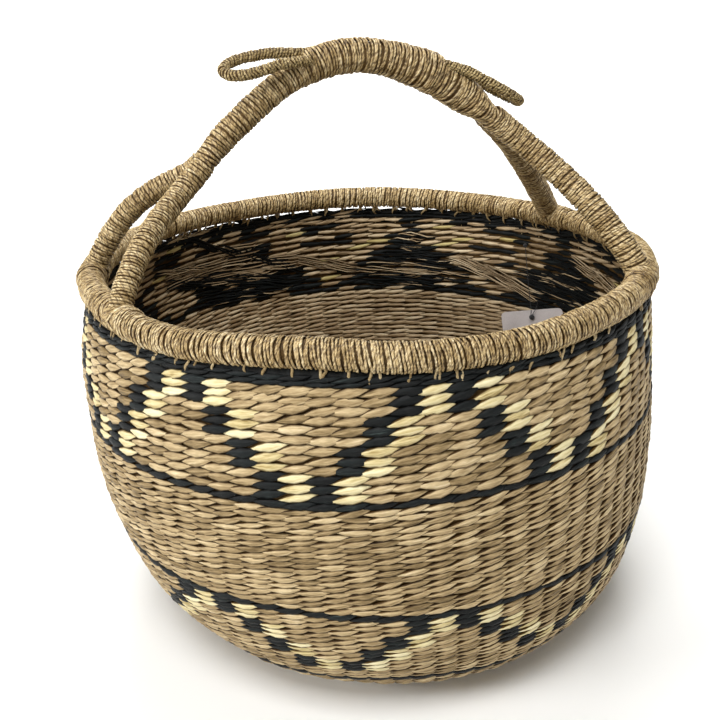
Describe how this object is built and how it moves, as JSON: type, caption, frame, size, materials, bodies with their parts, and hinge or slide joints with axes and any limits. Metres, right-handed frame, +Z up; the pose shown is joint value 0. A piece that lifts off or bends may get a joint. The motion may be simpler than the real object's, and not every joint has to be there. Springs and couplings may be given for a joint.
{
  "type": "woven basket",
  "caption": "Round twined straw basket with a bound rim, a forked arched carrying handle with two small loops, and a hang tag on a thread inside.",
  "frame": {"origin": "on the resting surface, under the middle of the basket's box without the tag", "axes": "+Z up; the handle runs roughly along X, 12 degrees turned from left front to right back; -Y is the front"},
  "size_m": [0.4176, 0.4172, 0.423],
  "materials": {
    "straw_weft": "dry twisted grass straw, matt",
    "patterned_straw": "natural, bleached and black dyed grass straw in a zigzag, matt",
    "dyed_straw": "black dyed grass straw, slightly glossy",
    "straw_stakes": "bundled grass straw, matt",
    "straw_winding": "tightly wound grass straw, slightly glossy",
    "cotton_thread": "thin black thread, matt",
    "paper_card": "blank pale paper card, matt"
  },
  "bodies": {
    "basket": {"base_start": "straw_weft", "base_weave": "straw_weft", "base_dark_round": "dyed_straw", "lower_pattern_band": "patterned_straw", "lower_dark_round": "dyed_straw", "plain_middle_band": "straw_weft", "upper_dark_round": "dyed_straw", "upper_pattern_band": "patterned_straw", "top_dark_rounds": "dyed_straw", "inner_weft": "straw_weft", "warp_stakes": "straw_stakes", "rim_core": "straw_stakes", "rim_wrap": "straw_winding", "left_front_foot_binding": "straw_winding", "left_back_foot_binding": "straw_winding", "right_front_foot_binding": "straw_winding", "right_back_foot_binding": "straw_winding", "front_bundle": "straw_stakes", "back_bundle": "straw_stakes", "left_front_leg_wrap": "straw_winding", "left_back_leg_wrap": "straw_winding", "right_front_leg_wrap": "straw_winding", "right_back_leg_wrap": "straw_winding", "left_arm_wrap": "straw_winding", "right_arm_wrap": "straw_winding", "grip_wrap": "straw_winding", "left_loop": "straw_winding", "right_loop": "straw_winding", "tag_tie_knot": "cotton_thread"},
    "hanging_thread": {"tag_thread": "cotton_thread"},
    "hanging_card": {"tag_card": "paper_card"}
  },
  "joints": [
    {"name": "thread_swing", "type": "hinge", "parent": "basket", "child": "hanging_thread", "pos_m": [0.13915, 0.13665, 0.23718], "axis": [-0.6997, 0.7145, 0], "range_deg": [0, 70]},
    {"name": "card_flap", "type": "hinge", "parent": "hanging_thread", "child": "hanging_card", "pos_m": [0.14332, 0.11913, 0.184], "axis": [-0.8572, 0.515, 0], "range_deg": [0, 70]}
  ]
}
